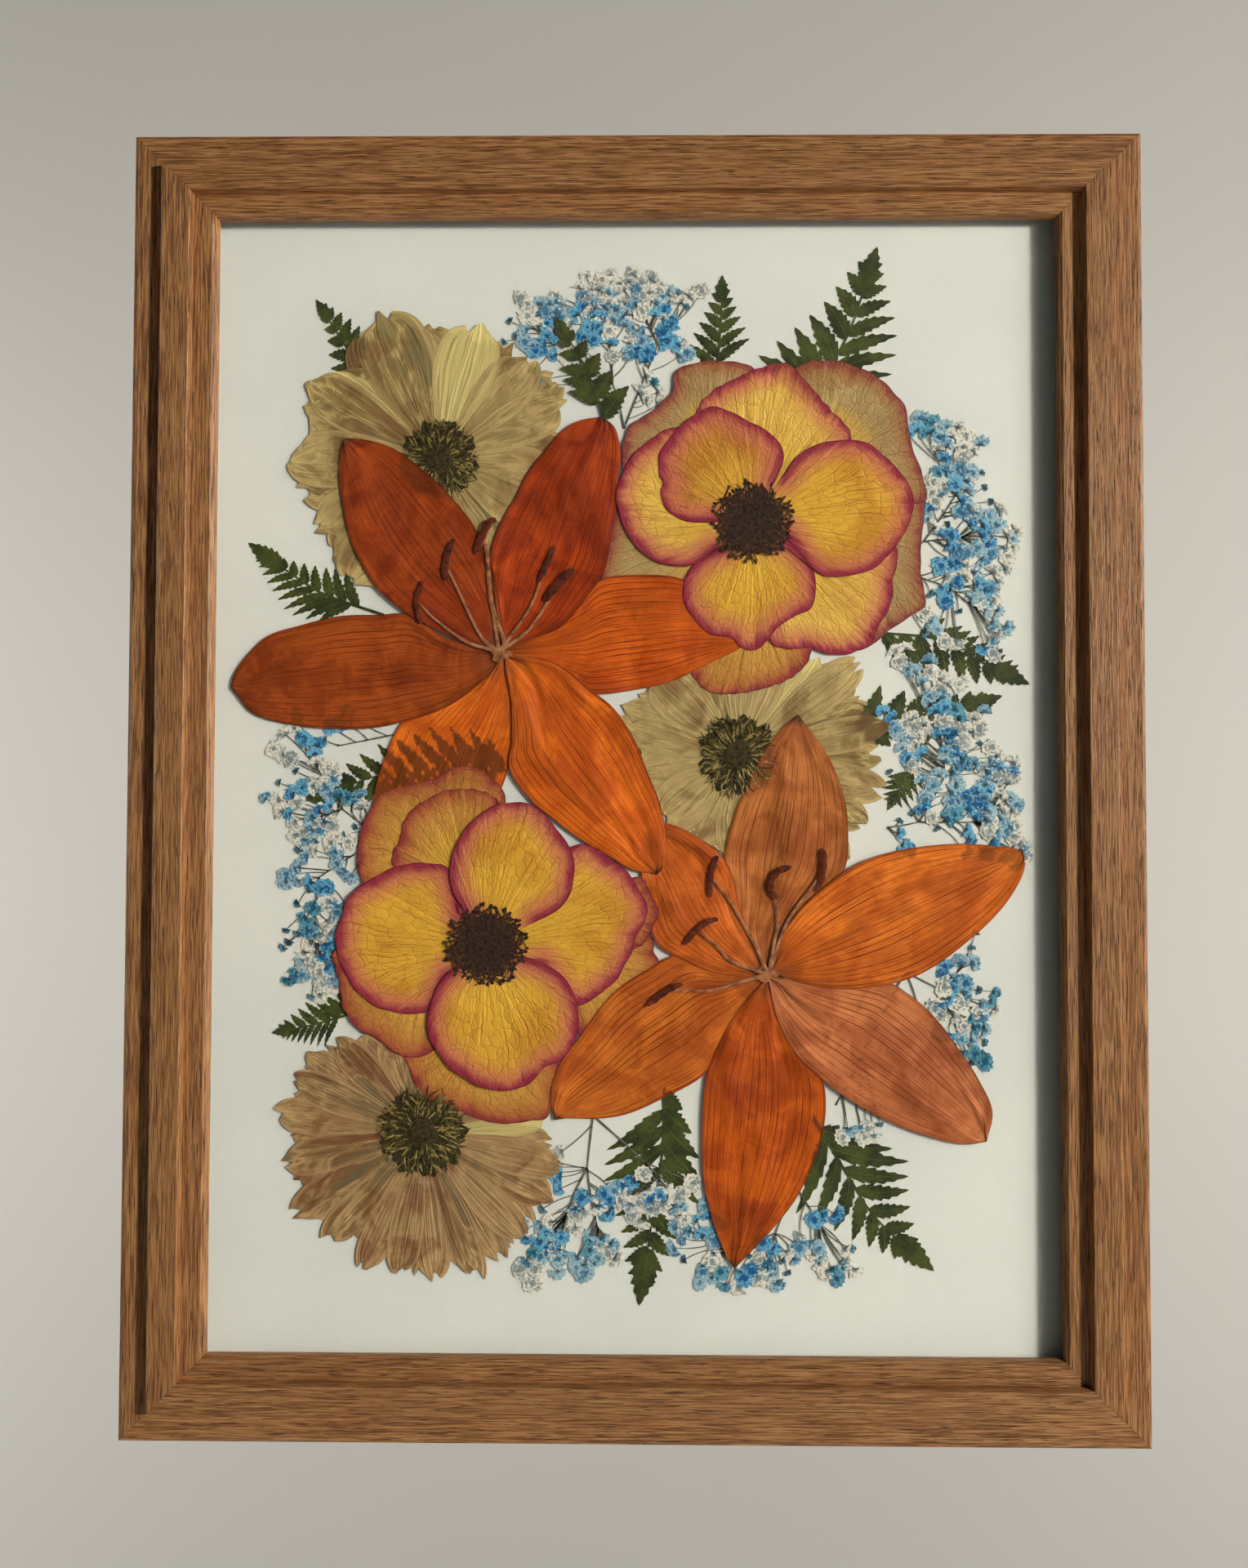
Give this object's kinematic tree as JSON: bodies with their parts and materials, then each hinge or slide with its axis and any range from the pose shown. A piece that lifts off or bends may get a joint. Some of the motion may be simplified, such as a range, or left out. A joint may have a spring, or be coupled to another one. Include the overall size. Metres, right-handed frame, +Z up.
{
  "type": "pressed flower frame",
  "caption": "Portrait wooden picture frame with glass over pressed lilies, roses, daisies, fern fronds and small flower sprays on a white card, hung on a wall.",
  "frame": {"origin": "middle of the top rail's flat back face, where the frame rests on the wall", "axes": "the picture faces -Y, +Z up the wall, +X to the viewer's right, +Y into the wall"},
  "size_m": [0.352, 0.0201, 0.4526],
  "materials": {
    "stained_wood": "oak-stained, satin, fine dark grain",
    "glass": "clear, flat",
    "white_card": "matt",
    "hardboard": "pressed fibre, raw",
    "zinc_steel": "zinc plated",
    "dried_anther": "dry, matt",
    "lily_tepal": "dry tissue, veined",
    "dried_heart": "dry, fibrous",
    "rose_petal": "dry tissue with crimson rims",
    "daisy_ray": "dry tissue, faded",
    "fern_leaf": "dry leaf",
    "spray_floret": "dry, papery"
  },
  "bodies": {
    "root": {"rail_top": "stained_wood", "rail_right": "stained_wood", "rail_bottom": "stained_wood", "rail_left": "stained_wood", "glass_pane": "glass", "mount_card": "white_card", "back_board": "hardboard", "hanger": "zinc_steel", "daisy_a": "daisy_ray", "daisy_b": "daisy_ray", "daisy_c": "daisy_ray", "fern_bottom": "fern_leaf", "fern_bottom_right": "fern_leaf", "fern_left": "fern_leaf", "fern_lower_left": "fern_leaf", "fern_right": "fern_leaf", "fern_top": "fern_leaf", "fern_top_middle": "fern_leaf", "fern_top_right": "fern_leaf", "fern_upper_left": "fern_leaf", "lily_a_stamens": "dried_anther", "lily_a_tepal_bottom": "lily_tepal", "lily_a_tepal_left": "lily_tepal", "lily_a_tepal_lower_right": "lily_tepal", "lily_a_tepal_right": "lily_tepal", "lily_a_tepal_upper": "lily_tepal", "lily_a_tepal_upper_left": "lily_tepal", "lily_b_stamens": "dried_anther", "lily_b_tepal_bottom": "lily_tepal", "lily_b_tepal_lower_left": "lily_tepal", "lily_b_tepal_lower_right": "lily_tepal", "lily_b_tepal_right": "lily_tepal", "lily_b_tepal_top": "lily_tepal", "lily_b_tepal_upper_left": "lily_tepal", "rose_a_heart": "dried_heart", "rose_a_petal_bottom": "rose_petal", "rose_a_petal_bottom_back": "rose_petal", "rose_a_petal_left": "rose_petal", "rose_a_petal_low_right": "rose_petal", "rose_a_petal_right": "rose_petal", "rose_a_petal_top": "rose_petal", "rose_a_petal_top_left": "rose_petal", "rose_a_petal_top_left_back": "rose_petal", "rose_a_petal_top_right_back": "rose_petal", "rose_b_heart": "dried_heart", "rose_b_petal_bottom": "rose_petal", "rose_b_petal_bottom_back": "rose_petal", "rose_b_petal_left": "rose_petal", "rose_b_petal_lower_left_back": "rose_petal", "rose_b_petal_right": "rose_petal", "rose_b_petal_right_back": "rose_petal", "rose_b_petal_top": "rose_petal", "rose_b_petal_upper_left": "rose_petal", "rose_b_petal_upper_left_back": "rose_petal", "spray_bottom": "spray_floret", "spray_bottom_left": "spray_floret", "spray_left": "spray_floret", "spray_right": "spray_floret", "spray_right_upper": "spray_floret", "spray_top": "spray_floret"}
  },
  "joints": []
}
